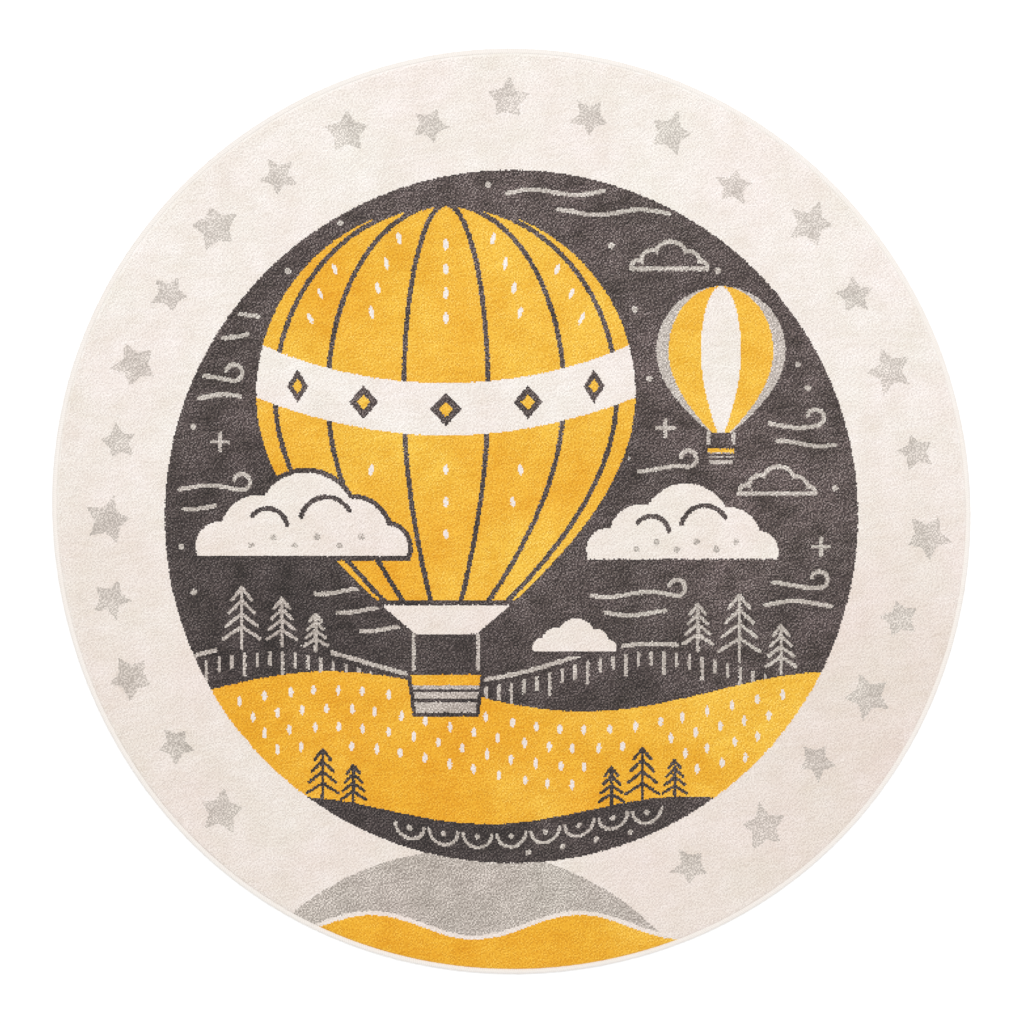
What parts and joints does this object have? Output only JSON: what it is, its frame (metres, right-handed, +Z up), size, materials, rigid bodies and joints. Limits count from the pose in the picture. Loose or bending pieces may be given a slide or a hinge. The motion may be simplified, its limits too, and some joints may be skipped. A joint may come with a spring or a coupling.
{
  "type": "round kids rug",
  "caption": "Flat round pile rug for a child's room in cream, charcoal, mustard and grey: hot-air balloons, clouds and hills in a ring of stars, the rim oversewn in cream yarn.",
  "frame": {"origin": "on the floor, under the centre of the rug's bounding box", "axes": "+Z up out of the pile, +Y towards the top of the design, +X to its right"},
  "size_m": [1.1942, 1.2034, 0.01],
  "materials": {
    "cream_pile": "matt short cut pile, fine grain, with a soft change of tone where it leans",
    "charcoal_pile": "matt short cut pile, warm dark grey flecked with lighter yarn",
    "mustard_pile": "matt short cut pile, warm yellow with deeper orange flecks",
    "grey_pile": "matt short cut pile of a marled light grey yarn",
    "edge_yarn": "twisted yarn oversewn in close turns, slightly silky",
    "ground_cloth": "flat woven back of jute and cotton with a dull size coat"
  },
  "bodies": {
    "root": {"rug_body": "cream_pile", "edge_binding": "edge_yarn"}
  },
  "joints": []
}
